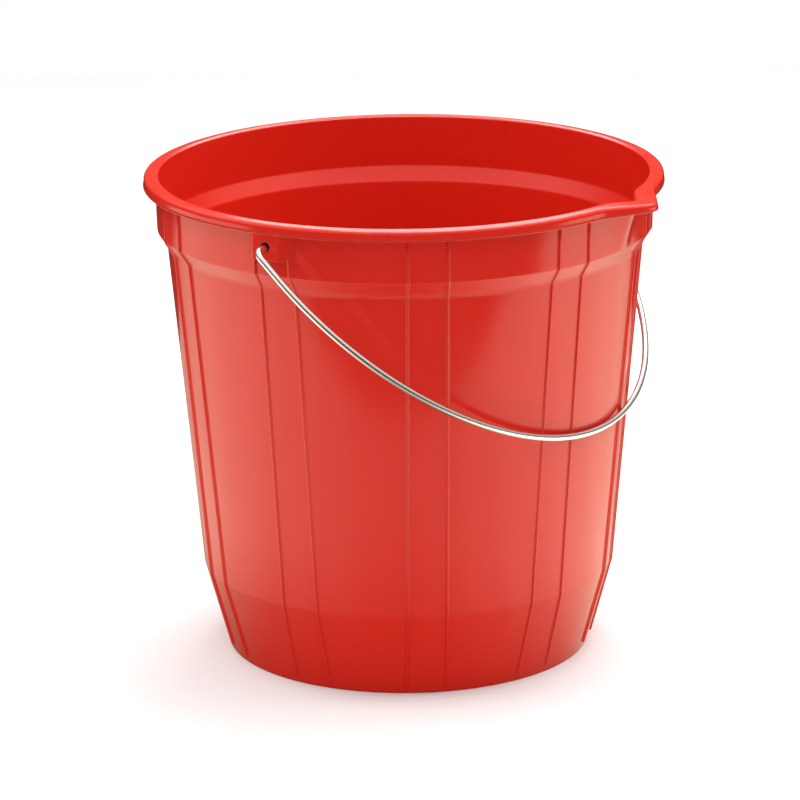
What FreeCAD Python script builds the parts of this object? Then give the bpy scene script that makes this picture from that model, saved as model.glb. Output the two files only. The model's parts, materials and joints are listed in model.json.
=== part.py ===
"""Wash bucket: a moulded polypropylene bucket with a pouring spout, and its steel-wire bail.

Frame: millimetres, +Z up, origin on the floor at the middle of the foot ring.
The bail turns about an axis along X, the spout points to -Y, and the bail hangs at rest under the spout.
"""
import FreeCAD, Part
import os
from math import acos, atan2, cos, degrees, hypot, pi, radians, sin, sqrt, tan

# ---- Driving sizes of the moulding ----
HEIGHT = 282.0                # floor to the top of the rim
RIM_RADIUS = 150.0            # outside of the rim, away from the spout
WALL = 2.0                    # side wall
BASE_THICKNESS = 2.5
BASE_LIFT = 5.5               # floor to the underside of the base, inside the foot ring
FOOT_WIDTH = 3.0              # width of the foot ring where it meets the floor
FOOT_ROUND = 1.0
BASE_ROUND = 6.0              # inside corner between wall and base

# ---- Rim: a flat top plate with a down-turned skirt ----
RIM_OVERHANG = 6.8            # from the collar out to the outside of the skirt
RIM_DEPTH = 6.5               # height of the skirt
RIM_PLATE = 2.0
SKIRT_WALL = 2.0
RIM_ROUND = 2.8               # outer top edge
LIP_ROUND = 0.9               # inner top edge

# ---- Side wall, from the rim down ----
COLLAR_DEPTH = 31.4           # top of the rim to the top of the shoulder
COLLAR_TAPER = 1.4            # degrees from vertical
SHOULDER_DEPTH = 8.6
SHOULDER_STEP = 5.55          # how far the shoulder comes in
WALL_TAPER = 5.09             # degrees
CREASE_HEIGHT = 50.2          # floor to the crease above the lower cone
CONE_TAPER = 15.43            # degrees

# ---- Outside ribs, in pairs ----
RIB_PAIRS = 10
RIB_OFFSET = 11.1             # middle of each rib from its pair's radial plane, so a pair runs parallel
RIB_WIDTH = 1.5
RIB_PROUD = 1.2
RIB_ROOT = 0.8                # how far a rib is rooted in the wall
RIB_END = 5.0                 # floor to the foot of a rib

# ---- Pouring spout ----
SPOUT_REACH = 13.5            # rim's tip beyond the rim radius
SPOUT_THROAT = 9.0            # inner surface beyond the inside of the collar, at the top
SPOUT_FLANK = 31.0            # degrees between a flank and the rim's tangent at the tip
SPOUT_TIP_ROUND = 9.0         # outside of the rim
SPOUT_BLEND = 35.0            # where a flank runs into the round rim
THROAT_ROUND = 6.0            # inner surface at the tip

# ---- Ears: boxes under the rim, open below, one on each side ----
EAR_WIDTH = 16.7              # outer plate
EAR_FLARE = 43.0              # degrees, each side face from the radial direction
EAR_HEIGHT = 14.5             # below the skirt
EAR_SETBACK = 0.7             # outer plate behind the outside of the rim
EAR_PLATE = 2.4
EAR_WALL = 2.0
EAR_JOIN = 0.5                # how far an ear is rooted in the rim's top plate
EAR_ROUND = 0.8
HOLE_DROP = 6.9               # skirt's lower edge to the middle of the hole

# ---- Wire bail ----
WIRE_RADIUS = 1.9
BAIL_LEG = 19.6               # hinge axis to the start of the half ring
PIN_BEND = 5.5                # middle of the wire, between leg and pin
PIN_CHAMFER = 0.4

# ---- Clearances ----
BAIL_STANDOFF = 9.2           # outside of the rim to the middle of the wire
PIN_PLAY = 0.75               # wire in the ear hole, all round
PIN_SEAT_GAP = 0.15           # pin above the bottom of the ear hole
PIN_END_GAP = 1.1             # pin's end to the collar behind the ear
BAIL_REST_GAP = 0.3           # wire to the nearest rib or wall at rest

# ---- Derived ----
SKIRT_BOTTOM = HEIGHT - RIM_DEPTH
SHOULDER_TOP = HEIGHT - COLLAR_DEPTH
SHOULDER_BOTTOM = SHOULDER_TOP - SHOULDER_DEPTH
COLLAR_RADIUS = RIM_RADIUS - RIM_OVERHANG
SHOULDER_RADIUS = COLLAR_RADIUS - COLLAR_DEPTH * tan(radians(COLLAR_TAPER))
WAIST_RADIUS = SHOULDER_RADIUS - SHOULDER_STEP
INNER_LIFT = WALL * tan(atan2(SHOULDER_STEP, SHOULDER_DEPTH) / 2)    # keeps the wall even at the shoulder
CREASE_RADIUS = WAIST_RADIUS - (SHOULDER_BOTTOM - CREASE_HEIGHT) * tan(radians(WALL_TAPER))
FOOT_RADIUS = CREASE_RADIUS - CREASE_HEIGHT * tan(radians(CONE_TAPER))
BASE_TOP = BASE_LIFT + BASE_THICKNESS
EAR_FACE = RIM_RADIUS - EAR_SETBACK
EAR_BOTTOM = SKIRT_BOTTOM - EAR_HEIGHT
HOLE_RADIUS = WIRE_RADIUS + PIN_PLAY
HOLE_HEIGHT = SKIRT_BOTTOM - HOLE_DROP
HINGE_HEIGHT = HOLE_HEIGHT - (PIN_PLAY - PIN_SEAT_GAP)
BAIL_RADIUS = RIM_RADIUS + BAIL_STANDOFF
PIN_END = COLLAR_RADIUS + PIN_END_GAP
OVER = 5.0                    # how far a cutter reaches past what it cuts
BAIL_STEPS = 720              # places along half of the ring where its gap is measured


def outer_profile():
    """Outside of the side wall as (radius, height) points, from the floor up."""
    return [
        (FOOT_RADIUS, 0.0),
        (CREASE_RADIUS, CREASE_HEIGHT),
        (WAIST_RADIUS, SHOULDER_BOTTOM),
        (SHOULDER_RADIUS, SHOULDER_TOP),
        (COLLAR_RADIUS, HEIGHT),
    ]


def wall_radius(height):
    """Outside radius of the side wall at a height."""
    points = outer_profile()
    for (low_r, low_z), (high_r, high_z) in zip(points, points[1:]):
        if height <= high_z:
            return low_r + (high_r - low_r) * (height - low_z) / (high_z - low_z)
    return COLLAR_RADIUS


def revolved(points):
    """Solid of revolution about Z of a closed outline given as (radius, height) points."""
    corners = [FreeCAD.Vector(r, 0, z) for r, z in points]
    face = Part.Face(Part.makePolygon(corners + corners[:1]))
    return face.revolve(FreeCAD.Vector(0, 0, 0), FreeCAD.Vector(0, 0, 1), 360)


def spout_corners(radius, reach, tip_round, blend):
    """Points of a spout outline in plan, for the +X half: where the circle, blend, flank and tip meet."""
    flank = radians(SPOUT_FLANK)
    tip = reach - tip_round
    offset = cos(flank) * tip + tip_round
    turn = flank - acos((offset + blend) / (radius + blend))
    middle = ((radius + blend) * sin(turn), (radius + blend) * cos(turn))
    on_circle = (radius * sin(turn), radius * cos(turn))
    on_flank = (middle[0] - blend * sin(flank), middle[1] - blend * cos(flank))
    on_tip = (tip_round * sin(flank), tip + tip_round * cos(flank))
    half = (turn + flank) / 2
    blend_middle = (middle[0] - blend * sin(half), middle[1] - blend * cos(half))
    return on_circle, blend_middle, on_flank, on_tip


def plan_point(point, height, side=1):
    """A plan point given as (across, towards the spout) as a vector in the model's frame."""
    return FreeCAD.Vector(side * point[0], -point[1], height)


def rim_outline(inset, height):
    """Closed plan outline of the round rim with its spout, set in from the outside by inset."""
    radius = RIM_RADIUS - inset
    reach = RIM_RADIUS + SPOUT_REACH - inset
    on_circle, blend_middle, on_flank, on_tip = spout_corners(
        radius, reach, SPOUT_TIP_ROUND - inset, SPOUT_BLEND + inset)
    far = FreeCAD.Vector(0, radius, height)
    tip = FreeCAD.Vector(0, -reach, height)
    edges = [Part.Arc(plan_point(on_circle, height), far, plan_point(on_circle, height, -1)).toShape()]
    for side in (-1, 1):
        arc = Part.Arc(plan_point(on_circle, height, side), plan_point(blend_middle, height, side),
                       plan_point(on_flank, height, side))
        edges.append(arc.toShape())
        edges.append(Part.makeLine(plan_point(on_flank, height, side), plan_point(on_tip, height, side)))
    edges.append(Part.Arc(plan_point(on_tip, height, -1), tip, plan_point(on_tip, height)).toShape())
    return Part.Wire(Part.__sortEdges__(edges))


def rim_block(inset, bottom, top):
    """Upright block with the rim's plan outline."""
    face = Part.Face(rim_outline(inset, bottom))
    return face.extrude(FreeCAD.Vector(0, 0, top - bottom))


def spout_fold(reach, tip_round, top):
    """Slanted V-shaped prism that makes the spout's fold in the collar and runs out at the shoulder."""
    flank = radians(SPOUT_FLANK)
    tip = reach - tip_round
    back = COLLAR_RADIUS * cos(flank)
    on_tip = (tip_round * sin(flank), tip + tip_round * cos(flank))
    heel = (on_tip[0] + (on_tip[1] - back) / tan(flank), back)
    slope = (SPOUT_THROAT + COLLAR_RADIUS - SHOULDER_RADIUS) / COLLAR_DEPTH
    lean = (top - HEIGHT) * slope
    edges = [
        Part.makeLine(plan_point(heel, HEIGHT, -1), plan_point(on_tip, HEIGHT, -1)),
        Part.Arc(plan_point(on_tip, HEIGHT, -1), FreeCAD.Vector(0, -reach, HEIGHT),
                 plan_point(on_tip, HEIGHT)).toShape(),
        Part.makeLine(plan_point(on_tip, HEIGHT), plan_point(heel, HEIGHT)),
        Part.makeLine(plan_point(heel, HEIGHT), plan_point(heel, HEIGHT, -1)),
    ]
    face = Part.Face(Part.Wire(edges))
    face.translate(FreeCAD.Vector(0, -lean, top - HEIGHT))
    drop = COLLAR_DEPTH + top - HEIGHT
    return face.extrude(FreeCAD.Vector(0, drop * slope, -drop))


def outer_body():
    """Solid outer form: side wall, spout fold and rim block, before anything is hollowed."""
    wall = revolved([(0.0, 0.0)] + outer_profile() + [(0.0, HEIGHT)])
    foot = [e for e in wall.Edges if e.Closed and e.BoundBox.ZMax < FOOT_ROUND]
    wall = wall.makeFillet(FOOT_ROUND, foot)
    fold = spout_fold(COLLAR_RADIUS + SPOUT_THROAT, THROAT_ROUND + WALL, HEIGHT)
    return wall.fuse(fold)


def rim_top():
    """Rim block with its outer top edge rounded."""
    block = rim_block(0.0, SKIRT_BOTTOM, HEIGHT)
    edges = [e for e in block.Edges if e.BoundBox.ZMin > HEIGHT - RIM_ROUND]
    return block.makeFillet(RIM_ROUND, edges)


def inner_space():
    """Everything inside the side wall, above the base."""
    crease, waist, shoulder, top = outer_profile()[1:]
    inner = [(crease[0] - WALL, crease[1])]
    inner += [(r - WALL, z + INNER_LIFT) for r, z in (waist, shoulder)]
    inner += [(top[0] - WALL, top[1])]
    floor_radius = wall_radius(BASE_TOP) - WALL
    space = revolved([(0.0, BASE_TOP), (floor_radius, BASE_TOP)] + inner + [(0.0, HEIGHT)])
    corner = [e for e in space.Edges if e.BoundBox.ZMax < BASE_TOP + 0.01 and e.Closed]
    space = space.makeFillet(BASE_ROUND, corner)
    fold = spout_fold(COLLAR_RADIUS - WALL + SPOUT_THROAT, THROAT_ROUND, HEIGHT)
    return space.fuse(fold)


def foot_space():
    """Recess under the base, inside the foot ring."""
    low = FOOT_RADIUS - FOOT_WIDTH
    high = wall_radius(BASE_LIFT) - FOOT_WIDTH
    return revolved([(0.0, -OVER), (low, -OVER), (low, 0.0), (high, BASE_LIFT), (0.0, BASE_LIFT)])


def ribs():
    """All the outside ribs, as plates rooted in the wall."""
    profile = outer_profile()
    low = (wall_radius(RIB_END), RIB_END)
    high = (wall_radius(HEIGHT - RIM_PLATE), HEIGHT - RIM_PLATE / 2)
    points = [low] + profile[1:-1] + [high]
    outline = [(r + RIB_PROUD, z) for r, z in points] + [(r - RIB_ROOT, z) for r, z in reversed(points)]
    made = []
    for side in (-1, 1):
        start = side * RIB_OFFSET - RIB_WIDTH / 2
        corners = [FreeCAD.Vector(sqrt(r * r - RIB_OFFSET * RIB_OFFSET), start, z) for r, z in outline]
        plate = Part.Face(Part.makePolygon(corners + corners[:1])).extrude(FreeCAD.Vector(0, RIB_WIDTH, 0))
        for pair in range(RIB_PAIRS):
            rib = plate.copy()
            rib.rotate(FreeCAD.Vector(0, 0, 0), FreeCAD.Vector(0, 0, 1), 360.0 / RIB_PAIRS * pair)
            made.append(rib)
    return made


def ear_block(face_radius, half_width, bottom, top):
    """Upright block with an ear's flared plan outline, at +X; its back lies inside the wall."""
    root = COLLAR_RADIUS - WALL * 1.5
    spread = half_width + (face_radius - root) * tan(radians(EAR_FLARE))
    plan = [(root, -spread), (face_radius, -half_width), (face_radius, half_width), (root, spread)]
    corners = [FreeCAD.Vector(x, y, bottom) for x, y in plan]
    return Part.Face(Part.makePolygon(corners + corners[:1])).extrude(FreeCAD.Vector(0, 0, top - bottom))


def ear_outside():
    """Outside of one ear, with its upright corners rounded."""
    block = ear_block(EAR_FACE, EAR_WIDTH / 2, EAR_BOTTOM, HEIGHT - RIM_PLATE + EAR_JOIN)
    upright = [e for e in block.Edges
               if e.BoundBox.ZLength > EAR_HEIGHT and e.BoundBox.XMin > EAR_FACE - EAR_ROUND]
    return block.makeFillet(EAR_ROUND, upright)


def ear_pocket():
    """Space inside one ear, open below."""
    flare = radians(EAR_FLARE)
    half = EAR_WIDTH / 2 + EAR_PLATE * tan(flare) - EAR_WALL / cos(flare)
    return ear_block(EAR_FACE - EAR_PLATE, half, EAR_BOTTOM - OVER, HEIGHT - RIM_PLATE)


def ear_hole():
    """Hole for the bail's pin through one ear's plate."""
    start = EAR_FACE - EAR_PLATE - WIRE_RADIUS
    return Part.makeCylinder(HOLE_RADIUS, EAR_PLATE + OVER, FreeCAD.Vector(start, 0, HOLE_HEIGHT),
                             FreeCAD.Vector(1, 0, 0))


def on_both_sides(shape):
    """A shape at +X and its mirror image at -X."""
    return [shape, shape.mirror(FreeCAD.Vector(0, 0, 0), FreeCAD.Vector(1, 0, 0))]


def on_surface(edge, shape):
    """Whether the middle of an edge lies on a shape."""
    middle = edge.valueAt((edge.FirstParameter + edge.LastParameter) / 2)
    return Part.Vertex(middle).distToShape(shape)[0] < 1e-4


def bucket_body():
    """The whole moulding as one solid."""
    solid_wall = outer_body()
    groove = rim_block(SKIRT_WALL, SKIRT_BOTTOM - OVER, HEIGHT - RIM_PLATE).cut(solid_wall)
    rim = rim_top().cut(groove)
    ears = []
    for outside, pocket in zip(on_both_sides(ear_outside()), on_both_sides(ear_pocket())):
        ears.append(outside.cut(pocket))
    inside = inner_space()
    body = solid_wall.fuse([rim] + ears + ribs())
    body = body.cut([inside, foot_space()] + on_both_sides(ear_hole()))
    body = body.removeSplitter().Solids[0]
    lip = [e for e in body.Edges if e.BoundBox.ZMin > HEIGHT - RIM_ROUND / 2 and on_surface(e, inside)]
    return body.makeFillet(LIP_ROUND, lip).Solids[0]


def bail_point(across, along, tilt):
    """A point of the bail's plane: across along X, and along down the plane from the hinge axis."""
    return FreeCAD.Vector(across, -along * cos(tilt), HINGE_HEIGHT - along * sin(tilt))


def rib_height(point):
    """How far the ribs stand out of the wall beside a point: nothing between ribs."""
    pitch = 2 * pi / RIB_PAIRS
    turn = atan2(point.y, point.x)
    across = hypot(point.x, point.y) * sin(turn - pitch * round(turn / pitch))
    if abs(abs(across) - RIB_OFFSET) < RIB_WIDTH:
        return RIB_PROUD
    return 0.0


def bail_gap(tilt):
    """Least gap between the wire of the half ring and the ribs and wall behind it, with the bail at a tilt."""
    gaps = []
    for step in range(BAIL_STEPS + 1):
        turn = pi / 2 * step / BAIL_STEPS
        point = bail_point(BAIL_RADIUS * sin(turn), BAIL_LEG + BAIL_RADIUS * cos(turn), tilt)
        slack = hypot(point.x, point.y) - wall_radius(point.z) - rib_height(point)
        gaps.append(slack * cos(radians(WALL_TAPER)) - WIRE_RADIUS)
    return min(gaps)


def rest_tilt():
    """Tilt below the horizontal at which the bail hangs against the ribs, in radians."""
    low = 0.0
    high = pi / 2
    while high - low > 1e-6:
        middle = (low + high) / 2
        if bail_gap(middle) > BAIL_REST_GAP:
            low = middle
        else:
            high = middle
    return low


def bail_path(tilt):
    """Middle line of the wire, from one pin's end to the other."""
    bend = PIN_BEND * (1 - cos(pi / 4))
    edges = []
    for side in (-1, 1):
        pin = bail_point(side * (BAIL_RADIUS - PIN_BEND), 0.0, tilt)
        leg = bail_point(side * BAIL_RADIUS, PIN_BEND, tilt)
        ring = bail_point(side * BAIL_RADIUS, BAIL_LEG, tilt)
        edges.append(Part.makeLine(bail_point(side * PIN_END, 0.0, tilt), pin))
        edges.append(Part.Arc(pin, bail_point(side * (BAIL_RADIUS - bend), bend, tilt), leg).toShape())
        edges.append(Part.makeLine(leg, ring))
    crown = bail_point(0.0, BAIL_LEG + BAIL_RADIUS, tilt)
    edges.append(Part.Arc(bail_point(-BAIL_RADIUS, BAIL_LEG, tilt), crown,
                          bail_point(BAIL_RADIUS, BAIL_LEG, tilt)).toShape())
    return Part.Wire(Part.__sortEdges__(edges))


def wire_bail():
    """The steel bail at rest."""
    path = bail_path(rest_tilt())
    start = path.Vertexes[0].Point
    section = Part.Wire(Part.makeCircle(WIRE_RADIUS, start, FreeCAD.Vector(1, 0, 0)))
    wire = path.makePipeShell([section], True, False)
    ends = [e for e in wire.Edges if e.Closed and e.BoundBox.XLength < PIN_CHAMFER
            and abs(e.BoundBox.XMin) < EAR_FACE]
    return wire.makeChamfer(PIN_CHAMFER, ends).Solids[0]


def write(node, shape):
    """Write one node's STEP file and report its size."""
    shape.exportStep("parts/" + node + ".step")
    box = shape.BoundBox
    print(node, "valid", shape.isValid(), "solids", len(shape.Solids), "cm3", round(shape.Volume / 1000, 2),
          "box", [round(v, 2) for v in (box.XMin, box.YMin, box.ZMin, box.XMax, box.YMax, box.ZMax)])


def main():
    """Build every node."""
    os.makedirs("parts", exist_ok=True)
    print("rest tilt", round(degrees(rest_tilt()), 3), "hinge height", HINGE_HEIGHT)
    write("bucket_body", bucket_body())
    write("wire_bail", wire_bail())


main()
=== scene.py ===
"""Looks of a wash bucket in a pale studio: a red moulding with spout, ribs and ears, and a wire bail."""
import json
import logging
import math
from dataclasses import dataclass, field
from enum import Enum

import bpy
import numpy as np
from mathutils import Matrix, Vector


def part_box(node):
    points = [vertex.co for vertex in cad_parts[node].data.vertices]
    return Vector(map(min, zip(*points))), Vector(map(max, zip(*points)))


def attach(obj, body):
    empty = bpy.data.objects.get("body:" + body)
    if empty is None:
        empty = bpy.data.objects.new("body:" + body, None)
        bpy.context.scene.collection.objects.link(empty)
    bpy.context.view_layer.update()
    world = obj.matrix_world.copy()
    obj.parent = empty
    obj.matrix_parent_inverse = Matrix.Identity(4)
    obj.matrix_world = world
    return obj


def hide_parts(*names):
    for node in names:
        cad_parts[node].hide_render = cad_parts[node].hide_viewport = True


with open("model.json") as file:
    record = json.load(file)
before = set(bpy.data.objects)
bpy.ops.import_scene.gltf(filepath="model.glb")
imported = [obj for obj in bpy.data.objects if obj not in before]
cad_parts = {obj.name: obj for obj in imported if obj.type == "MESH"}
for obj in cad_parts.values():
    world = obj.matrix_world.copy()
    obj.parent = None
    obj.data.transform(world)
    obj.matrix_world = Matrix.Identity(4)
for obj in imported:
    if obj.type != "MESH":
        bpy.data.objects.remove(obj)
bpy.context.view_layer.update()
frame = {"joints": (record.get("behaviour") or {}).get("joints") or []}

LOG = logging.getLogger("wash_bucket")
MM = 0.001
AIM_HEIGHT = 0.14335          # metres above the floor that the camera and the lights face


class Surface(Enum):
    """Which side of the moulding a stretch of its section belongs to."""

    INSIDE = "inside"
    RIM = "rim"
    OUTSIDE = "outside"
    UNDER = "under"


# ---------------------------------------------------------------------------------------------
# Small helpers for modelling
# ---------------------------------------------------------------------------------------------
def deselect_all() -> None:
    """Leave edit mode and deselect every object."""
    if bpy.context.object is not None and bpy.context.object.mode != "OBJECT":
        bpy.ops.object.mode_set(mode="OBJECT")
    bpy.ops.object.select_all(action="DESELECT")


def settle(piece: bpy.types.Object) -> None:
    """Put a piece's place, turn and scale into its mesh, so that its object sits at the origin.

    Args:
        piece: The mesh object to settle.
    """
    deselect_all()
    bpy.context.view_layer.objects.active = piece
    piece.select_set(True)
    bpy.ops.object.transform_apply(location=True, rotation=True, scale=True)


def recalculate_normals(piece: bpy.types.Object, merge: float = 1e-7) -> None:
    """Merge a piece's doubles and turn its faces outwards.

    Args:
        piece: The mesh object.
        merge: Distance in metres under which points are one.
    """
    deselect_all()
    bpy.context.view_layer.objects.active = piece
    piece.select_set(True)
    bpy.ops.object.mode_set(mode="EDIT")
    bpy.ops.mesh.select_all(action="SELECT")
    bpy.ops.mesh.remove_doubles(threshold=merge)
    bpy.ops.mesh.normals_make_consistent(inside=False)
    bpy.ops.object.mode_set(mode="OBJECT")


def apply_modifier(piece: bpy.types.Object, kind: str, **settings: object) -> None:
    """Add a modifier with its settings to a piece and apply it.

    Args:
        piece: The mesh object.
        kind: Blender's name for the modifier type.
        settings: Values set on the modifier before it is applied.
    """
    deselect_all()
    bpy.context.view_layer.objects.active = piece
    piece.select_set(True)
    modifier = piece.modifiers.new(kind.title(), kind)
    for name, value in settings.items():
        setattr(modifier, name, value)
    bpy.ops.object.modifier_apply(modifier=modifier.name)


def single_point(name: str, place: Vector) -> bpy.types.Object:
    """Start a piece from one point, ready to be extruded in edit mode.

    Args:
        name: Name of the piece.
        place: Where the point is, in metres.

    Returns:
        The new object, in edit mode with its one point selected.
    """
    deselect_all()
    bpy.ops.mesh.primitive_plane_add(size=MM)
    piece = bpy.context.object
    piece.name = name
    piece.data.name = name
    bpy.ops.object.mode_set(mode="EDIT")
    bpy.ops.mesh.select_all(action="SELECT")
    bpy.ops.mesh.merge(type="CENTER")
    bpy.ops.transform.translate(value=place)
    return piece


# ---------------------------------------------------------------------------------------------
# Finishes
# ---------------------------------------------------------------------------------------------
@dataclass(frozen=True)
class MaterialKit:
    """Node tree of one new material, with short ways to add what the finishes need."""

    material: bpy.types.Material

    @classmethod
    def start(cls, name: str) -> "MaterialKit":
        """Make an empty node material with a Principled shader wired to its output."""
        material = bpy.data.materials.new(name)
        material.use_nodes = True
        return cls(material)

    @property
    def shader(self) -> bpy.types.Node:
        """The material's Principled shader."""
        return self.material.node_tree.nodes["Principled BSDF"]

    def node(self, kind: str, inputs: dict | None = None, **settings: object) -> bpy.types.Node:
        """Add a node.

        Args:
            kind: Blender's node type.
            inputs: Values for its input sockets, or sockets to link to them, by name or number.
            settings: Values set on the node itself.

        Returns:
            The new node.
        """
        node = self.material.node_tree.nodes.new(kind)
        for name, value in settings.items():
            setattr(node, name, value)
        for key, value in (inputs or {}).items():
            self.feed(node.inputs[key], value)
        return node

    def feed(self, socket: bpy.types.NodeSocket, value: object) -> None:
        """Link a socket to another one, or set its value."""
        if isinstance(value, bpy.types.NodeSocket):
            self.material.node_tree.links.new(value, socket)
        else:
            socket.default_value = value

    def noise(self, vector: bpy.types.NodeSocket, scale: float = 1.0,
              detail: float = 2.0) -> bpy.types.NodeSocket:
        """Noise value on a vector."""
        made = self.node("ShaderNodeTexNoise", {"Vector": vector, "Scale": scale, "Detail": detail})
        return made.outputs["Fac"]

    def stretch(self, vector: bpy.types.NodeSocket, scale: tuple) -> bpy.types.NodeSocket:
        """A vector scaled along its three axes."""
        return self.node("ShaderNodeMapping", {"Vector": vector, "Scale": scale}).outputs["Vector"]

    def span(self, value: bpy.types.NodeSocket, low: float, high: float,
             start: float = 0.0, end: float = 1.0, how: str = "LINEAR") -> bpy.types.NodeSocket:
        """Map a value's range from start..end to low..high."""
        inputs = {"Value": value, "From Min": start, "From Max": end, "To Min": low, "To Max": high}
        return self.node("ShaderNodeMapRange", inputs, interpolation_type=how).outputs["Result"]

    def dot(self, vector: bpy.types.NodeSocket, axis: tuple) -> bpy.types.NodeSocket:
        """How far a vector reaches along an axis."""
        made = self.node("ShaderNodeVectorMath", {0: vector, 1: axis}, operation="DOT_PRODUCT")
        return made.outputs["Value"]

    def unsigned(self, value: bpy.types.NodeSocket) -> bpy.types.NodeSocket:
        """A value without its sign."""
        return self.node("ShaderNodeMath", {0: value}, operation="ABSOLUTE").outputs["Value"]

    def sums(self, first: bpy.types.NodeSocket, second: object, how: str = "ADD") -> bpy.types.NodeSocket:
        """Arithmetic on two values."""
        return self.node("ShaderNodeMath", {0: first, 1: second}, operation=how).outputs["Value"]

    def blend(self, share: bpy.types.NodeSocket, low: tuple, high: tuple) -> bpy.types.NodeSocket:
        """A colour between two colours."""
        made = self.node("ShaderNodeMix", {"Factor": share}, data_type="RGBA")
        self.feed(made.inputs["A"], low)
        self.feed(made.inputs["B"], high)
        return made.outputs["Result"]


@dataclass(frozen=True)
class GlossyPolypropylene:
    """Glossy moulded polypropylene: even strong colour, soft flow marks and a faint orange peel."""

    name: str = "glossy red polypropylene"
    colour: tuple = (0.595, 0.0168, 0.0080, 1.0)
    flow_colour: tuple = (0.625, 0.0190, 0.0092, 1.0)
    roughness: float = 0.14
    roughness_change: float = 0.05
    ior: float = 1.46
    flow_scale: tuple = (22.0, 22.0, 3.5)
    handled_scale: float = 38.0
    peel_scale: float = 900.0
    peel_share: float = 0.02
    ripple_scale: tuple = (110.0, 110.0, 420.0)
    ripple_share: float = 0.08
    wave_scale: tuple = (75.0, 75.0, 22.0)
    wave_share: float = 0.8
    relief: float = 0.0001

    def material(self) -> bpy.types.Material:
        """Build the material.

        Returns:
            The finished material.
        """
        kit = MaterialKit.start(self.name)
        place = kit.node("ShaderNodeTexCoord").outputs["Object"]
        flow = kit.noise(kit.stretch(place, self.flow_scale), detail=3.0)
        kit.feed(kit.shader.inputs["Base Color"], kit.blend(flow, self.colour, self.flow_colour))
        handled = kit.noise(place, self.handled_scale, detail=4.0)
        low, high = self.roughness - self.roughness_change, self.roughness + self.roughness_change
        kit.feed(kit.shader.inputs["Roughness"], kit.span(handled, low, high))
        kit.shader.inputs["IOR"].default_value = self.ior
        peel = kit.noise(place, self.peel_scale, detail=1.0)
        wave = kit.noise(kit.stretch(place, self.wave_scale))
        ripple = kit.noise(kit.stretch(place, self.ripple_scale), detail=1.0)
        height = kit.sums(kit.sums(peel, self.peel_share, "MULTIPLY"),
                          kit.sums(ripple, self.ripple_share, "MULTIPLY"))
        height = kit.sums(height, kit.sums(wave, self.wave_share, "MULTIPLY"))
        bump = kit.node("ShaderNodeBump", {"Height": height, "Strength": 1.0, "Distance": self.relief})
        kit.feed(kit.shader.inputs["Normal"], bump.outputs["Normal"])
        return kit.material


@dataclass(frozen=True)
class GalvanisedWire:
    """Bright drawn steel wire with a thin zinc coat: fine draw marks along it and dull flecks."""

    name: str = "bright galvanised wire"
    colour: tuple = (0.9, 0.905, 0.91, 1.0)
    dull_colour: tuple = (0.74, 0.75, 0.765, 1.0)
    roughness: float = 0.24
    smoother: float = 0.06
    rougher: float = 0.12
    draw_scale: tuple = (5.0, 5.0, 30.0)
    fleck_scale: tuple = (3.0, 3.0, 250.0)
    relief: float = 0.00003

    def material(self) -> bpy.types.Material:
        """Build the material, which follows the wire by its 'along' attribute.

        Returns:
            The finished material.
        """
        kit = MaterialKit.start(self.name)
        along = kit.node("ShaderNodeAttribute", attribute_name=WireBail.ALONG).outputs["Vector"]
        draw = kit.noise(kit.stretch(along, self.draw_scale), detail=3.0)
        kit.feed(kit.shader.inputs["Base Color"], kit.blend(draw, self.colour, self.dull_colour))
        fleck = kit.noise(kit.stretch(along, self.fleck_scale))
        low, high = self.roughness - self.smoother, self.roughness + self.rougher
        kit.feed(kit.shader.inputs["Roughness"], kit.span(fleck, low, high))
        kit.shader.inputs["Metallic"].default_value = 1.0
        bump = kit.node("ShaderNodeBump", {"Height": draw, "Strength": 0.2, "Distance": self.relief})
        kit.feed(kit.shader.inputs["Normal"], bump.outputs["Normal"])
        return kit.material


@dataclass(frozen=True)
class PaleFloor:
    """Matt white studio floor."""

    name: str = "pale studio floor"
    colour: tuple = (0.85, 0.868, 0.858, 1.0)
    darker_share: float = 0.98
    patch_scale: float = 3.0

    def material(self) -> bpy.types.Material:
        """Build the material.

        Returns:
            The finished material.
        """
        kit = MaterialKit.start(self.name)
        place = kit.node("ShaderNodeTexCoord").outputs["Object"]
        shade = kit.noise(place, self.patch_scale)
        darker = tuple(part * self.darker_share for part in self.colour[:3]) + (1.0,)
        kit.feed(kit.shader.inputs["Base Color"], kit.blend(shade, self.colour, darker))
        kit.shader.inputs["Roughness"].default_value = 0.9
        kit.shader.inputs["Specular IOR Level"].default_value = 0.1
        return kit.material


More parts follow.
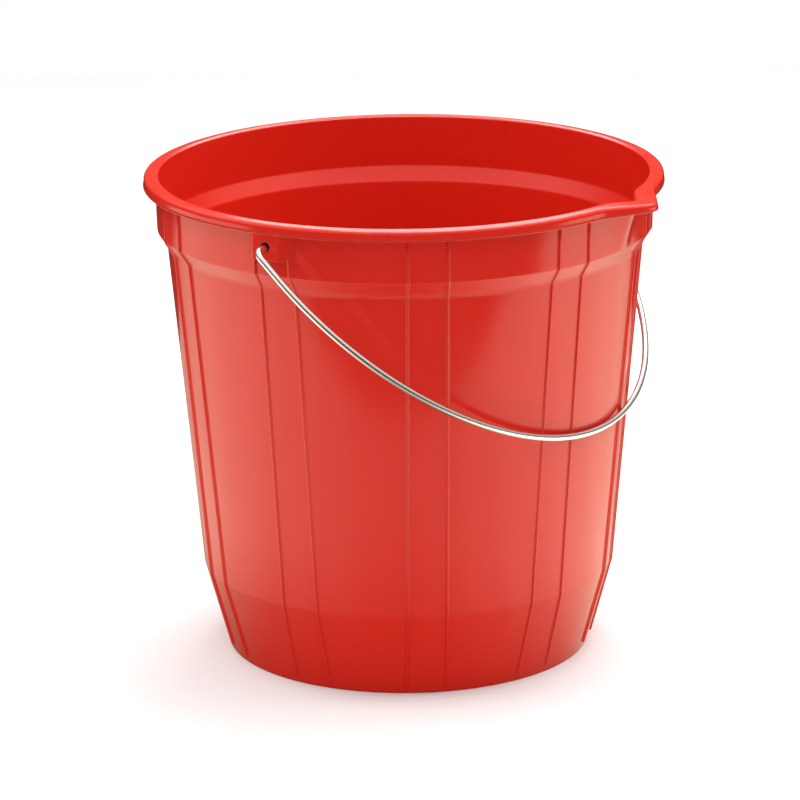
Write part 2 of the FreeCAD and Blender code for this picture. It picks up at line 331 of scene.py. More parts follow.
@dataclass(frozen=True)
class LightCard:
    """Glowing card that stands in for the lit table top as a gloss mirrors it: painted shade near the bucket,
    painted light brightest at both sides.
    """

    front_turn: float
    name: str = "painted glow card"
    tint: tuple = (1.0, 0.93, 0.73, 1.0)
    full: float = 2.4
    shade_start: float = 0.12
    shade_end: float = 0.36
    shade: float = 0.06
    side_shift: float = 0.07
    right_shift: float = 0.03
    left_share: float = 0.92
    right_share: float = 1.1
    side_reach: float = 0.3
    round_steps: tuple = ((0.0, 0.30), (0.09, 0.36), (0.19, 0.54), (0.28, 0.72), (0.43, 0.95), (0.57, 0.85),
                          (0.67, 0.6), (0.77, 0.3), (1.0, 0.12))

    def material(self) -> bpy.types.Material:
        """Build the material.

        Returns:
            The finished material.
        """
        kit = MaterialKit.start(self.name)
        tree = kit.material.node_tree
        place = kit.node("ShaderNodeTexCoord").outputs["Object"]
        right = (math.cos(self.front_turn), math.sin(self.front_turn), 0.0)
        front = (math.sin(self.front_turn), -math.cos(self.front_turn), 0.0)
        across, ahead = kit.dot(place, right), kit.dot(place, front)
        away = kit.node("ShaderNodeVectorMath", {0: place}, operation="LENGTH").outputs["Value"]
        share = kit.sums(kit.unsigned(kit.sums(across, ahead, "ARCTAN2")), math.pi, "DIVIDE")
        # painted light: by angle round the bucket, the glow is brightest at both sides and dim in front and
        # behind
        ramp = kit.node("ShaderNodeValToRGB", {"Fac": share})
        ramp.color_ramp.interpolation = "EASE"
        steps = ramp.color_ramp.elements
        while len(steps) < len(self.round_steps):
            steps.new(0.5)
        for step, (place_on, glow) in zip(steps, self.round_steps):
            step.position = place_on
            step.color = (glow, glow, glow, 1.0)
        # painted shade: the glow fades towards the bucket, a contact shadow painted into the card
        leaning = kit.sums(across, away, "DIVIDE")
        shift = kit.sums(kit.sums(kit.unsigned(leaning), self.side_shift, "MULTIPLY"),
                         kit.sums(leaning, self.right_shift, "MULTIPLY"))
        falloff = kit.span(kit.sums(away, shift), self.shade, 1.0, self.shade_start, self.shade_end,
                           "SMOOTHSTEP")
        # painted light: the right side of the card glows brighter than the left
        sides = kit.span(across, self.left_share, self.right_share, -self.side_reach, self.side_reach)
        glow = kit.sums(ramp.outputs["Color"], falloff, "MULTIPLY")
        glow = kit.sums(kit.sums(glow, sides, "MULTIPLY"), self.full, "MULTIPLY")
        emission = kit.node("ShaderNodeEmission", {"Color": self.tint, "Strength": glow})
        tree.links.new(emission.outputs["Emission"], tree.nodes["Material Output"].inputs["Surface"])
        tree.nodes.remove(kit.shader)
        return kit.material


# ---------------------------------------------------------------------------------------------
# The moulding
# ---------------------------------------------------------------------------------------------
@dataclass(frozen=True)
class Corner:
    """A corner of the moulding's section, in millimetres."""

    radius: float
    height: float
    rounding: float
    surface: Surface


@dataclass
class Spout:
    """The pouring spout: how far it pushes the rim and the collar out, in millimetres."""

    reach: float
    throat: float = 9.0
    flank: float = math.radians(31.0)
    rim_tip: float = 12.0
    throat_tip: float = 6.0
    rim_blend: float = 1.3
    fold_blend: float = 1.6
    dip: float = 1.8
    run_out: float = 4.0

    def outline(self, turn: np.ndarray, circle: np.ndarray, reach: np.ndarray,
                tip_round: np.ndarray, blend: float) -> np.ndarray:
        """Plan radius of a circle with a round-tipped V pushed out of it.

        Args:
            turn: Angle from the spout's middle, in radians.
            circle: Radius of the plain circle.
            reach: Radius of the V's tip.
            tip_round: Radius of the tip's rounding.
            blend: How softly the V runs into the circle.

        Returns:
            The plan radius at each angle.
        """
        size = np.minimum(np.abs(turn), math.pi / 2)
        middle = reach - tip_round
        line = (math.cos(self.flank) * middle + tip_round) / np.cos(size - self.flank)
        on_arc = middle * np.cos(size) + np.sqrt(np.maximum(tip_round**2 - (middle * np.sin(size))**2, 0.0))
        joint = np.arctan2(tip_round * math.sin(self.flank), middle + tip_round * math.cos(self.flank))
        vee = np.where(size < joint, on_arc, line)
        vee = np.where(size > self.flank, 0.0, vee)
        soft = np.maximum(blend - np.abs(vee - circle), 0.0) / blend
        return np.maximum(vee, circle) + soft**2 * blend / 4


@dataclass
class BucketShell:
    """The moulded shell: side wall, rim, spout, ribs, base and foot ring, in millimetres."""

    height: float
    rim_radius: float
    spout: Spout
    wall: float = 2.0
    rim_overhang: float = 6.8
    rim_depth: float = 6.5
    rim_plate: float = 2.0
    skirt_wall: float = 2.0
    bead_height: float = 1.3
    bead_proud: float = 0.4
    crown_inset: float = 2.6
    lip_fall: float = 0.8
    crown_fall: float = 0.8
    collar_depth: float = 31.4
    collar_taper: float = math.radians(1.4)
    shoulder_depth: float = 8.6
    shoulder_step: float = 5.55
    wall_taper: float = math.radians(5.09)
    crease_height: float = 50.2
    cone_taper: float = math.radians(15.43)
    base_lift: float = 5.5
    base_thickness: float = 2.5
    foot_width: float = 3.0
    rib_pairs: int = 10
    rib_offset: float = 11.1
    rib_proud: float = 1.2
    rib_width: float = 1.5
    rib_end: float = 5.0
    rib_top_gap: float = 1.0
    rib_edges: tuple = (-0.3, -0.08, 0.08, 0.3)
    rib_rise: tuple = (1.0, 0.92, 0.64, 0.15, 0.0)
    rib_margin: float = 0.8
    sink_depth: float = 0.05
    gate_radius: float = 11.0
    gate_depth: float = 0.6
    stub_radius: float = 2.2
    stub_slope: float = 0.3
    between_ribs: tuple = (-6.0, -2.0, 2.0, 6.0)
    row_spacing: float = 14.0
    spout_columns: int = 40
    spout_crowding: float = 0.5
    wall_columns: int = 10

    def __post_init__(self) -> None:
        """Work out the sizes that follow from the others."""
        self.skirt_bottom = self.height - self.rim_depth
        self.shoulder_top = self.height - self.collar_depth
        self.shoulder_bottom = self.shoulder_top - self.shoulder_depth
        self.collar_radius = self.rim_radius - self.rim_overhang
        self.shoulder_radius = self.collar_radius - self.collar_depth * math.tan(self.collar_taper)
        self.waist_radius = self.shoulder_radius - self.shoulder_step
        self.inner_lift = self.wall * math.tan(math.atan2(self.shoulder_step, self.shoulder_depth) / 2)
        drop = self.shoulder_bottom - self.crease_height
        self.crease_radius = self.waist_radius - drop * math.tan(self.wall_taper)
        self.foot_radius = self.crease_radius - self.crease_height * math.tan(self.cone_taper)

    def wall_radius(self, height: np.ndarray) -> np.ndarray:
        """Outside radius of the side wall at a height."""
        heights = (0.0, self.crease_height, self.shoulder_bottom, self.shoulder_top, self.height)
        radii = (self.foot_radius, self.crease_radius, self.waist_radius, self.shoulder_radius,
                 self.collar_radius)
        return np.interp(height, heights, radii)

    def corners(self) -> list[Corner]:
        """Corners of the closed section, from the middle of the floor inside to the middle underneath."""
        inside, rim, outside, under = Surface.INSIDE, Surface.RIM, Surface.OUTSIDE, Surface.UNDER
        floor = self.base_lift + self.base_thickness
        skirt = self.rim_radius - self.bead_proud
        bead = self.skirt_bottom + self.bead_height
        groove = self.height - self.rim_plate
        gate, stub = self.gate_radius, self.stub_radius
        return [
            Corner(0.0, floor, 0.0, inside),
            Corner(float(self.wall_radius(floor)) - self.wall, floor, 6.0, inside),
            Corner(self.crease_radius - self.wall, self.crease_height, 8.0, inside),
            Corner(self.waist_radius - self.wall, self.shoulder_bottom + self.inner_lift, 3.0, inside),
            Corner(self.shoulder_radius - self.wall, self.shoulder_top + self.inner_lift, 2.0, inside),
            Corner(self.collar_radius - self.wall, self.height - self.lip_fall, 0.7, rim),
            Corner(self.collar_radius - self.wall + self.crown_inset, self.height, 3.0, rim),
            Corner(skirt, self.height - self.crown_fall, 2.2, rim),
            Corner(skirt, bead, 0.5, rim),
            Corner(self.rim_radius, bead - self.bead_proud, 0.3, rim),
            Corner(self.rim_radius, self.skirt_bottom, 0.5, rim),
            Corner(self.rim_radius - self.skirt_wall, self.skirt_bottom, 0.5, rim),
            Corner(self.rim_radius - self.skirt_wall, groove, 0.8, rim),
            Corner(float(self.wall_radius(groove)), groove, 0.8, outside),
            Corner(self.shoulder_radius, self.shoulder_top, 1.0, outside),
            Corner(self.waist_radius, self.shoulder_bottom, 8.0, outside),
            Corner(self.crease_radius, self.crease_height, 8.0, outside),
            Corner(float(self.wall_radius(self.rib_end)), self.rib_end, 0.0, outside),
            Corner(self.foot_radius, 0.0, 1.0, under),
            Corner(self.foot_radius - self.foot_width, 0.0, 0.6, under),
            Corner(float(self.wall_radius(self.base_lift)) - self.foot_width, self.base_lift, 1.0, under),
            Corner(gate, self.base_lift, 0.3, under),
            Corner(gate - self.gate_depth, self.base_lift + self.gate_depth, 0.3, under),
            Corner(stub, self.base_lift + self.gate_depth, 0.2, under),
            Corner(stub - self.stub_slope, self.base_lift - self.stub_slope, 0.2, under),
            Corner(0.0, self.base_lift - self.stub_slope, 0.0, under),
        ]

    def section(self) -> list[tuple[float, float, Surface]]:
        """Points of the section: rounded corners, and straight runs cut into even rows.

        Returns:
            (radius, height, surface) for each point, in order.
        """
        corners = self.corners()
        first = corners[0]
        rows: list[tuple[float, float, Surface]] = [(first.radius, first.height, first.surface)]
        for before, corner, after in zip(corners, corners[1:], corners[2:]):
            self.add_run(rows, self.rounded(before, corner, after), corner.surface)
        self.add_run(rows, [(corners[-1].radius, corners[-1].height)], corners[-1].surface)
        return rows

    def rounded(self, before: Corner, corner: Corner, after: Corner) -> list[tuple[float, float]]:
        """Points of one corner's arc, with a guard point on each side that keeps the flats flat."""
        here = Vector((corner.radius, corner.height))
        arrive = (here - Vector((before.radius, before.height))).normalized()
        leave = (Vector((after.radius, after.height)) - here).normalized()
        turn = math.acos(max(-1.0, min(1.0, arrive.dot(leave))))
        back = corner.rounding * math.tan(turn / 2)
        side = 1.0 if arrive.x * leave.y - arrive.y * leave.x > 0 else -1.0
        start = here - arrive * back
        middle = start + Vector((-arrive.y, arrive.x)) * side * corner.rounding
        guard = min(0.5, 0.3 * corner.rounding + 0.1)
        steps = max(3, round(math.degrees(turn) / 12)) if corner.rounding else 0
        points = [start - arrive * guard]
        for step in range(steps + 1):
            spoke = start - middle
            spoke.rotate(Matrix.Rotation(side * turn * step / max(steps, 1), 2))
            points.append(middle + spoke)
        points.append(here + leave * (back + guard))
        return [(point.x, point.y) for point in points]

    def add_run(self, rows: list, points: list[tuple[float, float]], surface: Surface) -> None:
        """Add a corner's points to the rows, after cutting the straight run that leads to them."""
        last = Vector(rows[-1][:2])
        first = Vector(points[0])
        cuts = math.ceil((first - last).length / self.row_spacing)
        came = rows[-1][2]
        for cut in range(1, cuts):
            point = last.lerp(first, cut / cuts)
            rows.append((point.x, point.y, came))
        half = len(points) // 2
        for number, point in enumerate(points):
            rows.append((*point, surface if number >= half or came == surface else came))

    def columns(self) -> np.ndarray:
        """Where the upright rows of points stand around the shell.

        Each column lies a share of the way between two lines, and each line keeps a set distance from a
        pair's radial plane, so that the columns of a rib run parallel with its twin's.

        Returns:
            Rows of (first pair angle, first offset, second pair angle, second offset, share).
        """
        half = self.rib_width / 2
        steps = (0.0, *(half + edge for edge in self.rib_edges), half + self.rib_margin)
        near = sorted({-step for step in steps} | set(steps))
        offsets = [-self.rib_offset + step for step in near]
        offsets += self.between_ribs
        offsets += [self.rib_offset + step for step in near]
        pitch = 2 * math.pi / self.rib_pairs
        table = []
        for pair in range(self.rib_pairs):
            angle = pair * pitch
            for offset in offsets:
                table.append((angle, offset, angle, offset, 0.0))
            facing_spout = abs(angle + pitch / 2 - 1.5 * math.pi) < 0.01
            count = self.spout_columns if facing_spout else self.wall_columns
            for number in range(1, count + 1):
                share = number / (count + 1)
                if facing_spout:
                    share += self.spout_crowding * math.sin(2 * math.pi * share) / (2 * math.pi)
                table.append((angle, offsets[-1], angle + pitch, offsets[0], share))
        return np.array(table)

    def azimuth(self, columns: np.ndarray, radius: np.ndarray) -> np.ndarray:
        """Angle round the axis of columns at a radius."""
        kept = np.maximum(radius, self.foot_radius)
        first = columns[:, 0] + np.arcsin(columns[:, 1] / kept)
        second = columns[:, 2] + np.arcsin(columns[:, 3] / kept)
        return first + (second - first) * columns[:, 4]

    def rib_shape(self, columns: np.ndarray) -> np.ndarray:
        """Height of the ribs, from 0 to 1, at columns."""
        distance = np.abs(np.abs(columns[:, 1]) - self.rib_offset)
        half = self.rib_width / 2
        shape = np.interp(distance, (0.0, *(half + edge for edge in self.rib_edges)), self.rib_rise)
        return np.where(columns[:, 4] == 0.0, shape, 0.0)

    def throat_reach(self, height: np.ndarray) -> np.ndarray:
        """Radius of the spout fold's tip on the inner surface at a height."""
        slope = (self.spout.throat + self.collar_radius - self.shoulder_radius) / self.collar_depth
        return self.collar_radius - self.wall + self.spout.throat - slope * (self.height - height)

    def spout_shift(self, turn: np.ndarray, radius: np.ndarray, height: np.ndarray,
                    on_rim: np.ndarray, inside: np.ndarray) -> np.ndarray:
        """How far the spout pushes points of the shell out.

        Args:
            turn: Angle of each point from the spout's middle.
            radius: Plain radius of each point.
            height: Height of each point.
            on_rim: Whether each point is on the rim.
            inside: Whether each point is on the inner surface.

        Returns:
            The outward move of each point.
        """
        spout = self.spout
        reach = self.throat_reach(height)
        outer = self.wall_radius(height)
        inner = outer - self.wall
        one = np.ones_like(radius)
        throat = spout.outline(turn, inner, reach, one * spout.throat_tip, spout.fold_blend) - inner
        collar = spout.outline(turn, outer, reach + self.wall, one * (spout.throat_tip + self.wall),
                               spout.fold_blend) - outer
        inset = np.clip(self.rim_radius - radius, 0.0, self.skirt_wall)
        circle = self.rim_radius - inset
        tip = circle + spout.reach
        rim = spout.outline(turn, circle, tip, spout.rim_tip - inset, spout.rim_blend) - circle
        across = np.clip((radius - outer) / (self.rim_radius - self.skirt_wall - outer), 0.0, 1.0)
        through = np.clip((radius - inner) / self.wall, 0.0, 1.0)
        above = np.clip((height - self.shoulder_top) / spout.run_out, 0.0, 1.0)
        throat, collar = throat * above, collar * above
        web = throat + (collar - throat) * through
        on_web = np.where(radius > outer, collar + (rim - collar) * across, web)
        return np.where(on_rim, on_web, np.where(inside, throat, collar))

    def profile_piece(self, rows: list[tuple[float, float, Surface]]) -> bpy.types.Object:
        """Draw the section as a string of edges, point by point."""
        piece = single_point("bucket_shell", Vector((rows[0][0], 0.0, rows[0][1])) * MM)
        for last, row in zip(rows, rows[1:]):
            step = Vector((row[0] - last[0], 0.0, row[1] - last[1])) * MM
            bpy.ops.mesh.extrude_vertices_move(TRANSFORM_OT_translate={"value": step})
        return piece

    def build(self) -> bpy.types.Object:
        """Spin the section round the axis, then push out the ribs and the spout.

        Returns:
            The shell's object.
        """
        rows = self.section()
        columns = self.columns()
        piece = self.profile_piece(rows)
        bpy.ops.mesh.select_all(action="SELECT")
        bpy.ops.mesh.spin(steps=len(columns), angle=2 * math.pi, center=(0.0, 0.0, 0.0), axis=(0.0, 0.0, 1.0))
        recalculate_normals(piece)
        self.shape_points(piece, rows, columns)
        bpy.ops.object.shade_smooth()
        return piece

    def shape_points(self, piece: bpy.types.Object, rows: list, columns: np.ndarray) -> None:
        """Move each point of the spun shell to its column, and out onto its rib or the spout."""
        mesh = piece.data
        points = np.empty(len(mesh.vertices) * 3)
        mesh.vertices.foreach_get("co", points)
        points = points.reshape(-1, 3) / MM
        radius = np.hypot(points[:, 0], points[:, 1])
        height = points[:, 2]
        spun = np.arctan2(points[:, 1], points[:, 0]) / (2 * math.pi) * len(columns)
        column = columns[np.round(spun).astype(int) % len(columns)]
        section = np.array([row[:2] for row in rows])
        nearest = np.array([np.argmin((section[:, 0] - r)**2 + (section[:, 1] - z)**2)
                            for r, z in zip(radius, height)])
        surface = np.array([row[2].value for row in rows])[nearest]
        inside, outside = surface == Surface.INSIDE.value, surface == Surface.OUTSIDE.value
        angle = self.azimuth(column, radius)
        rib_top = self.height - self.rim_plate - self.rib_top_gap
        ribbed = outside & (height > self.rib_end) & (height < rib_top)
        shape = self.rib_shape(column)
        turn = (angle - 1.5 * math.pi + math.pi) % (2 * math.pi) - math.pi
        shift = self.spout_shift(turn, radius, height, surface == Surface.RIM.value, inside)
        pushed = radius + shift + np.where(ribbed, shape * self.rib_proud, 0.0)
        pushed += np.where(inside & (height > self.crease_height), shape * self.sink_depth, 0.0)
        lift = np.clip((height - self.skirt_bottom) / self.rim_depth, 0.0, 1.0)
        height = height - self.spout.dip * lift * shift / self.spout.reach
        moved = np.stack([pushed * np.cos(angle), pushed * np.sin(angle), height], axis=1)
        moved[radius < 0.01, :2] = 0.0
        mesh.vertices.foreach_set("co", (moved * MM).ravel())
        mesh.update()


@dataclass
class BucketEar:
    """One boxed ear under the rim, open below, with the hole for the bail's pin, in millimetres."""

    shell: BucketShell
    name: str
    side: int
    hinge_height: float
    width: float = 16.7
    flare: float = math.radians(43.0)
    drop: float = 14.5
    setback: float = 0.7
    plate: float = 2.4
    side_wall: float = 2.0
    rounding: float = 0.8
    bevel_share: float = 0.55
    hole_radius: float = 2.65
    hole_lift: float = 0.6
    root_share: float = 0.75
    rim_root: float = 0.1
    pocket_gap: float = 0.3
    cutter_spare: float = 5.0
    drill_length: float = 8.0

    def block(self, name: str, face: float, half: float, bottom: float, top: float) -> bpy.types.Object:
        """Upright block with the ear's flared plan outline.

        Args:
            name: Name of the object.
            face: Radius of its flat outer face.
            half: Half the width of that face.
            bottom: Height of its underside.
            top: Height of its top.

        Returns:
            The block's object.
        """
        root = self.shell.collar_radius - self.shell.wall * self.root_share
        spread = half + (face - root) * math.tan(self.flare)
        deselect_all()
        middle = Vector(((root + face) / 2, 0.0, (bottom + top) / 2)) * MM
        size = Vector((face - root, 2 * spread, top - bottom)) * MM
        bpy.ops.mesh.primitive_cube_add(size=1.0, location=middle, scale=size)
        block = bpy.context.object
        block.name = name
        settle(block)
        bpy.ops.object.mode_set(mode="EDIT")
        bpy.ops.mesh.select_all(action="DESELECT")
        bpy.ops.object.mode_set(mode="OBJECT")
        for vertex in block.data.vertices:
            vertex.select = vertex.co.x > middle.x
        bpy.ops.object.mode_set(mode="EDIT")
        bpy.ops.transform.resize(value=(1.0, half / spread, 1.0), center_override=(0.0, 0.0, 0.0))
        bpy.ops.object.mode_set(mode="OBJECT")
        return block

    def build(self) -> bpy.types.Object:
        """Model the ear at +X, and turn it to its side.

        Returns:
            The ear's object.
        """
        face = self.shell.rim_radius - self.setback
        bottom = self.shell.skirt_bottom - self.drop
        under_rim = self.shell.height - self.shell.rim_plate
        ear = self.block(self.name, face, self.width / 2, bottom, under_rim + self.rim_root)
        half = self.width / 2 + self.plate * math.tan(self.flare) - self.side_wall / math.cos(self.flare)
        pocket = self.block("ear pocket", face - self.plate, half, bottom - self.cutter_spare,
                            under_rim - self.pocket_gap)
        self.cut(ear, pocket)
        deselect_all()
        hole_height = self.hinge_height + self.hole_lift
        bpy.ops.mesh.primitive_cylinder_add(
            vertices=48, radius=self.hole_radius * MM, depth=self.drill_length * MM,
            rotation=(0.0, math.pi / 2, 0.0), location=(face * MM, 0.0, hole_height * MM))
        self.cut(ear, bpy.context.object)
        apply_modifier(ear, "BEVEL", width=self.rounding * MM * self.bevel_share, segments=3,
                       limit_method="ANGLE", angle_limit=math.radians(30.0), harden_normals=False)
        if self.side < 0:
            ear.rotation_euler = (0.0, 0.0, math.pi)
        settle(ear)
        deselect_all()
        bpy.context.view_layer.objects.active = ear
        ear.select_set(True)
        bpy.ops.object.shade_smooth_by_angle(angle=math.radians(35.0))
        apply_modifier(ear, "WEIGHTED_NORMAL", keep_sharp=True)
        return ear

    def cut(self, block: bpy.types.Object, cutter: bpy.types.Object) -> None:
        """Cut one object out of another and delete the cutter."""
        apply_modifier(block, "BOOLEAN", operation="DIFFERENCE", solver="EXACT", object=cutter)
        bpy.data.objects.remove(cutter, do_unlink=True)


# ---------------------------------------------------------------------------------------------
# The bail
# ---------------------------------------------------------------------------------------------
@dataclass
class WireBail:
    """The steel bail at rest: two pins, two short legs and a half ring, in millimetres."""

    ALONG = "along_wire"
    ALONG_UNIT = 100.0

    shell: BucketShell
    hinge_height: float
    wire_radius: float
    ring_radius: float
    crown_height: float
    leg: float = 19.6
    bend: float = 5.5
    pin_end_gap: float = 1.1
    chamfer: float = 0.4
    sides: int = 24
    ring_steps: int = 128
    bend_steps: int = 10

    def __post_init__(self) -> None:
        """Work out how far the bail hangs below the horizontal."""
        self.tilt = math.asin((self.hinge_height - self.crown_height) / (self.leg + self.ring_radius))
        self.down = Vector((0.0, -math.cos(self.tilt), -math.sin(self.tilt)))
        self.across_plane = Vector((1.0, 0.0, 0.0)).cross(self.down)
        self.pin_end = self.shell.collar_radius + self.pin_end_gap

    def place(self, across: float, along: float) -> Vector:
        """A point of the bail's plane, in metres."""
        return (Vector((across, 0.0, self.hinge_height)) + self.down * along) * MM

    def extrude(self, move: Vector) -> None:
        """Draw the selected end of the wire along a straight stretch."""
        bpy.ops.mesh.extrude_region_move(TRANSFORM_OT_translate={"value": move})

    def turn(self, centre: Vector, angle: float, steps: int) -> None:
        """Draw the selected end of the wire round a bend."""
        bpy.ops.mesh.spin(steps=steps, angle=angle, center=centre, axis=self.across_plane)

    def build(self) -> bpy.types.Object:
        """Draw the wire from its left pin to its right pin.

        Returns:
            The bail's object.
        """
        deselect_all()
        bpy.ops.mesh.primitive_circle_add(
            vertices=self.sides, radius=self.wire_radius * MM, fill_type="NGON",
            rotation=(0.0, math.pi / 2, 0.0), location=self.place(-self.pin_end - self.chamfer, 0.0))
        wire = bpy.context.object
        wire.name = "bail_wire"
        wire.data.name = "bail_wire"
        settle(wire)
        bpy.ops.object.mode_set(mode="EDIT")
        bpy.ops.mesh.select_all(action="SELECT")
        ring = self.ring_radius
        quarter = math.pi / 2
        self.extrude(self.place(-ring + self.bend, 0.0) - self.place(-self.pin_end - self.chamfer, 0.0))
        self.turn(self.place(-ring + self.bend, self.bend), quarter, self.bend_steps)
        self.extrude(self.down * (self.leg - self.bend) * MM)
        self.turn(self.place(0.0, self.leg), 2 * quarter, self.ring_steps)
        self.extrude(-self.down * (self.leg - self.bend) * MM)
        self.turn(self.place(ring - self.bend, self.bend), quarter, self.bend_steps)
        self.extrude(self.place(self.pin_end + self.chamfer, 0.0) - self.place(ring - self.bend, 0.0))
        bpy.ops.object.mode_set(mode="OBJECT")
        recalculate_normals(wire)
        self.write_along(wire)
        bpy.ops.object.shade_smooth_by_angle(angle=math.radians(40.0))
        return wire

    def write_along(self, wire: bpy.types.Object) -> None:
        """Store, at each point, the direction round the wire and the distance along it."""
        mesh = wire.data
        attribute = mesh.attributes.new(self.ALONG, "FLOAT_VECTOR", "POINT")
        for vertex in mesh.vertices:
            point = vertex.co / MM - Vector((0.0, 0.0, self.hinge_height))
            along = point.dot(self.down)
            lift = point.dot(self.across_plane) / self.wire_radius
            if along > self.leg:
                radius = math.hypot(point.x, along - self.leg)
                length = self.ring_radius * math.atan2(point.x, along - self.leg)
                out = (radius - self.ring_radius) / self.wire_radius
            else:
                length = math.copysign(self.ring_radius * math.pi / 2 + self.leg - along, point.x)
                length += math.copysign(max(0.0, self.ring_radius - self.bend - abs(point.x)), point.x)
                out = (abs(point.x) - self.ring_radius) / self.wire_radius
            attribute.data[vertex.index].vector = (lift, out, length / self.ALONG_UNIT)


# ---------------------------------------------------------------------------------------------
# The studio
# ---------------------------------------------------------------------------------------------
@dataclass(frozen=True)
class SoftLight:
    """A soft rectangular light that faces a point of the bucket, in metres and watts."""

    name: str
    azimuth: float
    elevation: float
    distance: float
    width: float
    tall: float
    power: float
    mirrored: bool = False
    mirror_only: bool = False


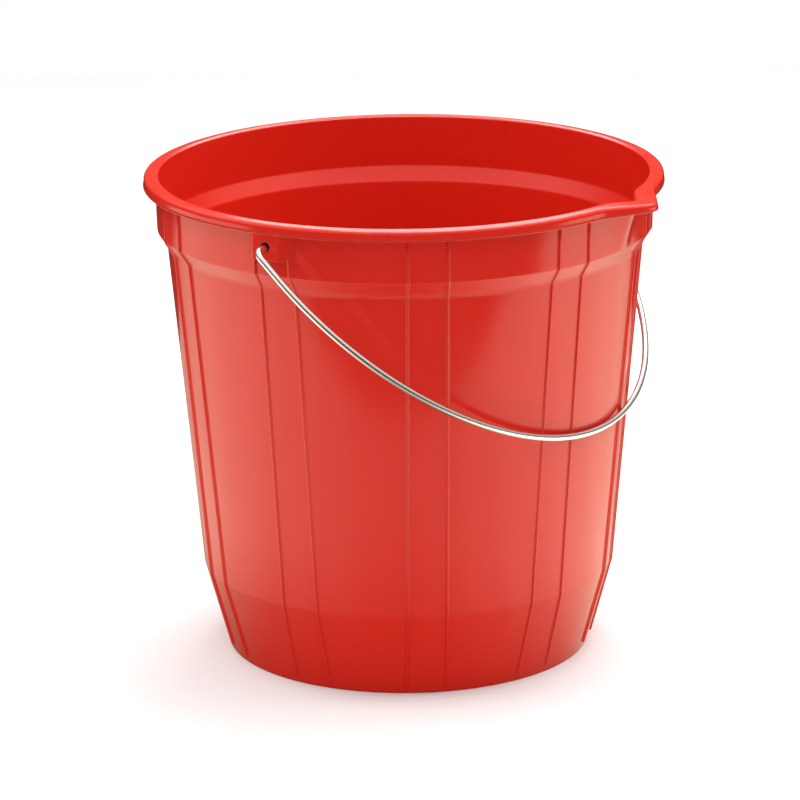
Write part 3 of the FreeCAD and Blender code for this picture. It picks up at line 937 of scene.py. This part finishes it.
@dataclass
class Studio:
    """Pale floor, soft lights and the camera; angles are measured as for the views, in degrees."""

    aim: Vector
    camera_azimuth: float = -59.2
    camera_elevation: float = 16.21
    camera_distance: float = 2.5285
    camera_roll: float = -0.65
    camera_slide: float = -0.0036
    camera_lens: float = 194.8
    floor_size: float = 3.2
    glow_card_front: float = 0.47
    glow_card_back: float = 0.6
    glow_card_half_width: float = 1.6
    glow_card_drop: float = 0.0005
    horizon_rise: float = 0.3
    zenith_rise: float = 0.65
    horizon_light: float = 0.15
    zenith_light: float = 1.1
    below_light: float = 0.03
    warm_light: tuple = (1.0, 0.95, 0.85, 1.0)
    lights: tuple = field(default_factory=lambda: (
        SoftLight("left softbox", -154.0, 46.0, 1.15, 0.9, 0.9, 6.5),
        SoftLight("right softbox", 40.0, 46.0, 1.15, 0.9, 0.9, 7.5),
        SoftLight("front fill", -58.7, 12.0, 2.2, 1.2, 0.8, 8.5),
        SoftLight("top softbox", 100.0, 72.0, 1.4, 0.8, 0.8, 14.5, True),
        SoftLight("rim strip", 116.0, 37.0, 1.5, 0.7, 0.34, 2.4, True, True),
    ))

    def direction(self, azimuth: float, elevation: float) -> Vector:
        """Unit vector from the bucket towards a place round it."""
        turn, rise = math.radians(azimuth), math.radians(elevation)
        return Vector((math.sin(turn) * math.cos(rise), -math.cos(turn) * math.cos(rise), math.sin(rise)))

    def add_camera(self) -> None:
        """Put the camera at its viewing angle and make it the scene's camera."""
        back = self.direction(self.camera_azimuth, self.camera_elevation)
        turn = math.radians(self.camera_azimuth)
        right = Vector((math.cos(turn), math.sin(turn), 0.0))
        data = bpy.data.cameras.new("camera")
        data.sensor_width = 36.0
        data.lens = self.camera_lens
        data.clip_end = 100.0
        camera = bpy.data.objects.new("camera", data)
        bpy.context.scene.collection.objects.link(camera)
        target = self.aim + right * self.camera_slide
        place = self.aim + back * self.camera_distance
        ahead = (target - place).normalized()
        level = ahead.cross(Vector((0.0, 0.0, 1.0))).normalized()
        up = level.cross(ahead)
        roll = math.radians(self.camera_roll)
        across = level * math.cos(roll) + up * math.sin(roll)
        upward = up * math.cos(roll) - level * math.sin(roll)
        axes = Matrix((across, upward, -ahead)).transposed()
        camera.matrix_world = Matrix.Translation(place) @ axes.to_4x4()
        bpy.context.scene.camera = camera

    def add_lights(self) -> None:
        """Add the soft lights."""
        for light in self.lights:
            data = bpy.data.lights.new(light.name, "AREA")
            data.shape = "RECTANGLE"
            data.size, data.size_y = light.width, light.tall
            data.energy = light.power
            lamp = bpy.data.objects.new(light.name, data)
            lamp.visible_camera = False
            lamp.visible_glossy = light.mirrored
            lamp.visible_diffuse = not light.mirror_only
            back = self.direction(light.azimuth, light.elevation)
            lamp.location = self.aim + back * light.distance
            lamp.rotation_euler = back.to_track_quat("Z", "Y").to_euler()
            bpy.context.scene.collection.objects.link(lamp)

    def plane(self, name: str, front: float, back: float, half_width: float,
              height: float) -> bpy.types.Object:
        """Lay a plane on the ground, square to the camera.

        Args:
            name: Name of the plane.
            front: How far it reaches from the bucket's middle towards the camera.
            back: How far it reaches the other way.
            half_width: How far it reaches to each side.
            height: Its height.

        Returns:
            The plane, marked as part of the stage.
        """
        deselect_all()
        bpy.ops.mesh.primitive_plane_add(size=1.0)
        plane = bpy.context.object
        plane.name = name
        plane.scale = (2 * half_width, front + back, 1.0)
        plane.rotation_euler = (0.0, 0.0, math.radians(self.camera_azimuth))
        plane.location = -self.direction(self.camera_azimuth, 0.0) * (back - front) / 2
        plane.location.z = height
        settle(plane)
        return plane

    def add_floor(self) -> None:
        """Lay the pale floor that is seen, and the glowing card with painted shade that the bucket mirrors in
        place of a table top.
        """
        half = self.floor_size / 2
        floor = self.plane("studio_floor", half, half, half, 0.0)
        floor.visible_glossy = False
        floor.visible_shadow = False
        floor.data.materials.append(PaleFloor().material())
        # a glowing card with painted shade near the bucket, seen only in gloss, stands in for the lit table
        # top
        table = self.plane("studio_glow_card", self.glow_card_front, self.glow_card_back, self.glow_card_half_width,
                           -self.glow_card_drop)
        table.visible_camera = False
        table.visible_diffuse = False
        table.visible_shadow = False
        table.data.materials.append(LightCard(front_turn=math.radians(self.camera_azimuth)).material())

    def add_world(self) -> None:
        """Surround the bucket with light that grows from the horizon to the zenith, white where seen."""
        world = bpy.data.worlds.new("studio white")
        world.use_nodes = True
        tree = world.node_tree
        sky = tree.nodes.new("ShaderNodeTexCoord")
        split = tree.nodes.new("ShaderNodeSeparateXYZ")
        grow = tree.nodes.new("ShaderNodeMapRange")
        grow.interpolation_type = "SMOOTHSTEP"
        for name, value in (("From Min", self.horizon_rise), ("From Max", self.zenith_rise),
                            ("To Min", self.horizon_light), ("To Max", self.zenith_light)):
            grow.inputs[name].default_value = value
        above = tree.nodes.new("ShaderNodeMath")
        above.operation = "GREATER_THAN"
        above.inputs[1].default_value = 0.0
        cut = tree.nodes.new("ShaderNodeMath")
        cut.operation = "MULTIPLY"
        lift = tree.nodes.new("ShaderNodeMath")
        lift.operation = "MAXIMUM"
        lift.inputs[1].default_value = self.below_light
        path = tree.nodes.new("ShaderNodeLightPath")
        seen = tree.nodes.new("ShaderNodeMath")
        seen.operation = "MAXIMUM"
        tint = tree.nodes.new("ShaderNodeMix")
        tint.data_type = "RGBA"
        tint.inputs["A"].default_value = (1.0, 1.0, 1.0, 1.0)
        tint.inputs["B"].default_value = self.warm_light
        back = tree.nodes["Background"]
        link = tree.links.new
        link(sky.outputs["Generated"], split.inputs["Vector"])
        link(split.outputs["Z"], grow.inputs["Value"])
        link(split.outputs["Z"], above.inputs[0])
        link(grow.outputs["Result"], cut.inputs[0])
        link(above.outputs["Value"], cut.inputs[1])
        link(cut.outputs["Value"], lift.inputs[0])
        link(lift.outputs["Value"], seen.inputs[0])
        link(path.outputs["Is Camera Ray"], seen.inputs[1])
        link(path.outputs["Is Glossy Ray"], tint.inputs["Factor"])
        link(tint.outputs["Result"], back.inputs["Color"])
        link(seen.outputs["Value"], back.inputs["Strength"])
        bpy.context.scene.world = world

    def build(self) -> None:
        """Set the whole studio up."""
        self.add_camera()
        self.add_lights()
        self.add_floor()
        self.add_world()
        view = bpy.context.scene.view_settings
        view.view_transform = "Standard"
        view.look = "None"


def dress(piece: bpy.types.Object, material: bpy.types.Material, body: str) -> None:
    """Give a piece its material, its body and its material slot, and report it.

    Args:
        piece: The finished piece.
        material: Its material.
        body: Name of the body that it rides on.
    """
    piece.data.materials.clear()
    piece.data.materials.append(material)
    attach(piece, body)
    LOG.info("%s: %d faces on %s", piece.name, len(piece.data.polygons), body)


def main() -> None:
    """Build the studio and every piece from the frame's sizes."""
    logging.basicConfig(level=logging.INFO, format="%(name)s %(message)s")
    low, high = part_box("bucket_body")
    wire_low, wire_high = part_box("wire_bail")
    rim_radius = high.y / MM
    spout = Spout(reach=-low.y / MM - rim_radius)
    shell = BucketShell(height=high.z / MM, rim_radius=rim_radius, spout=spout)
    hinge = frame["joints"][0]["pos_m"][2] / MM
    wire_radius = wire_high.y / MM
    bail = WireBail(shell=shell, hinge_height=hinge, wire_radius=wire_radius,
                    ring_radius=wire_high.x / MM - wire_radius, crown_height=(wire_low.z / MM + wire_radius))
    Studio(aim=Vector((0.0, 0.0, AIM_HEIGHT))).build()
    red = GlossyPolypropylene().material()
    moulding = shell.build()
    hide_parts("bucket_body")
    dress(moulding, red, "bucket")
    for name, side in (("ear_left", -1), ("ear_right", 1)):
        ear = BucketEar(shell=shell, name=name, side=side, hinge_height=hinge).build()
        dress(ear, red, "bucket")
    wire = bail.build()
    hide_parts("wire_bail")
    dress(wire, GalvanisedWire().material(), "bail")


if __name__ == "__main__":
    main()
